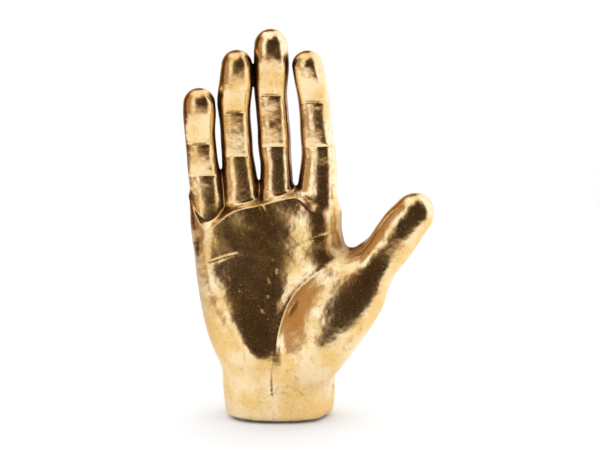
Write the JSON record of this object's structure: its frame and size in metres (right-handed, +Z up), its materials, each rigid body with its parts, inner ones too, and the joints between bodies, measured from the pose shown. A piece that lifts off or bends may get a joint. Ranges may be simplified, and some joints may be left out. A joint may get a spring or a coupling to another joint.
{
  "type": "hand sculpture",
  "caption": "Gold-finished hollow ceramic hand that stands upright on a short wrist, with the palm open, the fingers slightly fanned and the thumb held out.",
  "frame": {"origin": "centre of the felt pad's underside, on the surface that the hand stands on", "axes": "+Z up along the wrist to the fingertips, the palm faces -Y and the thumb points towards +X"},
  "size_m": [0.1835, 0.0696, 0.2897],
  "materials": {
    "gilded_ceramic": "ceramic with a polished gold lustre, lightly brushed and scuffed",
    "felt": "dark matt wool felt"
  },
  "bodies": {
    "root": {"hand_body": "gilded_ceramic", "felt_pad": "felt"}
  },
  "joints": []
}
